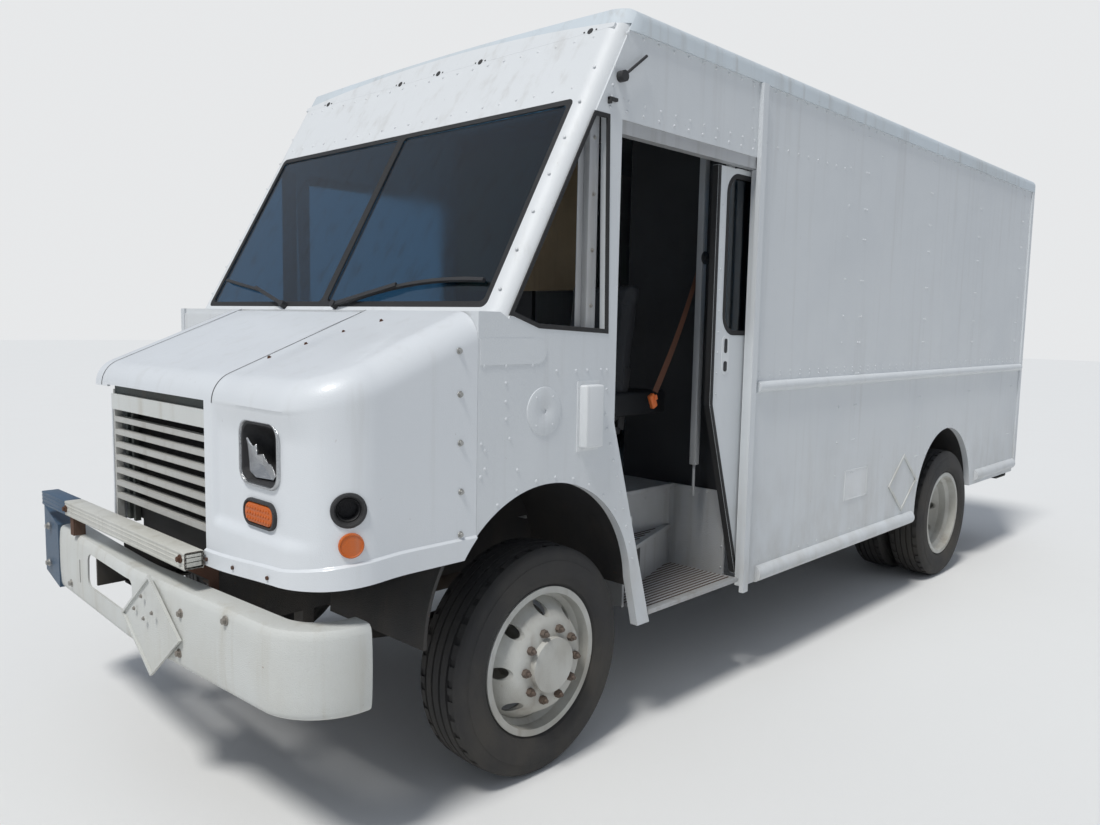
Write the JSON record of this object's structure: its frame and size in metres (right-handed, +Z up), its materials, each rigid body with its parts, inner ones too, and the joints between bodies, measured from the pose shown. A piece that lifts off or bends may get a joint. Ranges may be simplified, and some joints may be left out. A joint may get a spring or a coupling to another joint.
{
  "type": "walk-in step van",
  "caption": "White walk-in step van with a sloped nose, its right fender off, raked windscreen, sliding cab doors, box body and a ladder chassis.",
  "frame": {"origin": "on the ground under the middle of the vehicle's length and width", "axes": "+Y to the rear, the nose at -Y; +X to the driver's left side; +Z up"},
  "size_m": [2.4438, 7.1442, 3.12],
  "materials": {
    "white_paint": "satin white paint",
    "nose_white": "gel-coated white moulding",
    "blue_grey_paint": "blue-grey paint",
    "dark_steel": "dark chassis paint",
    "cast_dark": "rough cast",
    "aluminium": "worn mill finish",
    "bars": "light grey paint",
    "rubber_black": "matt black rubber",
    "tyre": "worn tyre rubber",
    "rim_white": "white rim paint",
    "glass": "clear tinted glass",
    "dash_black": "grained black",
    "seat_vinyl": "black vinyl",
    "interior_grey": "dull grey paint",
    "lamp": "amber lens and dark bowls",
    "red_lens": "red lens"
  },
  "bodies": {
    "chassis": {"antenna": "dash_black", "body_trim": "white_paint", "bulkhead": "interior_grey", "bumper_wing": "blue_grey_paint", "cab_front": "white_paint", "cab_sides": "white_paint", "cargo_sides": "white_paint", "chassis_frame": "dark_steel", "dashboard": "dash_black", "door_tracks": "aluminium", "driver_seat": "seat_vinyl", "engine_block": "cast_dark", "engine_cover": "interior_grey", "exhaust_pipe": "dark_steel", "fenders": "nose_white", "floor": "aluminium", "front_axle": "cast_dark", "front_bumper": "white_paint", "fuel_tank": "dark_steel", "grille": "bars", "leaf_springs": "dark_steel", "nose_lamps": "lamp", "placard_frames": "white_paint", "rear_axle": "cast_dark", "rear_frame": "white_paint", "rear_step": "dark_steel", "roof": "white_paint", "screen_glass": "glass", "screen_rubber": "rubber_black", "step_beam": "aluminium", "step_wells": "aluminium", "tail_lamps": "red_lens", "wheel_housings": "aluminium", "wipers": "dash_black"},
    "hood": {"hood_lid": "nose_white"},
    "side_door_left": {"side_door_left": "white_paint", "side_door_glass_left": "glass"},
    "side_door_right": {"side_door_right": "white_paint", "side_door_glass_right": "glass"},
    "rear_door_left": {"rear_door_left": "white_paint"},
    "rear_door_right": {"rear_door_right": "white_paint"},
    "knuckle_left": {"knuckle_left": "cast_dark"},
    "knuckle_right": {"knuckle_right": "cast_dark"},
    "steering_wheel": {"steering_wheel": "dash_black"},
    "wheel_front_left": {"tyre_front_left": "tyre", "rim_front_left": "rim_white"},
    "wheel_front_right": {"tyre_front_right": "tyre", "rim_front_right": "rim_white"},
    "wheel_rear_left": {"tyre_rear_left": "tyre", "rim_rear_left": "rim_white"},
    "wheel_rear_right": {"tyre_rear_right": "tyre", "rim_rear_right": "rim_white"}
  },
  "joints": [
    {"name": "hood_hinge", "type": "hinge", "parent": "chassis", "child": "hood", "pos_m": [0, -2.821, 1.821], "axis": [-1, 0, 0], "range_deg": [0, 55]},
    {"name": "side_door_left_slide", "type": "slide", "parent": "chassis", "child": "side_door_left", "axis": [0, 1, 0], "range_m": [-0.805, 0.22]},
    {"name": "side_door_right_slide", "type": "slide", "parent": "chassis", "child": "side_door_right", "axis": [0, 1, 0], "range_m": [-1.025, 0]},
    {"name": "rear_door_left_hinge", "type": "hinge", "parent": "chassis", "child": "rear_door_left", "pos_m": [1.125, 3.479, 1.9], "axis": [0, 0, -1], "range_deg": [0, 180]},
    {"name": "rear_door_right_hinge", "type": "hinge", "parent": "chassis", "child": "rear_door_right", "pos_m": [-1.125, 3.479, 1.9], "axis": [0, 0, 1], "range_deg": [0, 180]},
    {"name": "steer_left", "type": "hinge", "parent": "chassis", "child": "knuckle_left", "pos_m": [0.85, -2.385, 0.47], "axis": [0, 0, 1], "range_deg": [-35, 35]},
    {"name": "steer_right", "type": "hinge", "parent": "chassis", "child": "knuckle_right", "pos_m": [-0.85, -2.385, 0.47], "axis": [0, 0, 1], "range_deg": [-35, 35]},
    {"name": "steering_wheel_turn", "type": "hinge", "parent": "chassis", "child": "steering_wheel", "pos_m": [0.56, -2.155, 1.66], "axis": [0, 0.7071, 0.7071], "range_deg": [-525, 525]},
    {"name": "roll_front_left", "type": "hinge", "parent": "knuckle_left", "child": "wheel_front_left", "pos_m": [1.025, -2.385, 0.47], "axis": [1, 0, 0], "continuous": true},
    {"name": "roll_front_right", "type": "hinge", "parent": "knuckle_right", "child": "wheel_front_right", "pos_m": [-1.025, -2.385, 0.47], "axis": [1, 0, 0], "continuous": true},
    {"name": "roll_rear_left", "type": "hinge", "parent": "chassis", "child": "wheel_rear_left", "pos_m": [0.925, 1.855, 0.47], "axis": [1, 0, 0], "continuous": true},
    {"name": "roll_rear_right", "type": "hinge", "parent": "chassis", "child": "wheel_rear_right", "pos_m": [-0.925, 1.855, 0.47], "axis": [1, 0, 0], "continuous": true}
  ],
  "couplings": [
    {"joint": "steer_right", "follows": "steer_left", "ratio": 1},
    {"joint": "steering_wheel_turn", "follows": "steer_left", "ratio": 15}
  ]
}
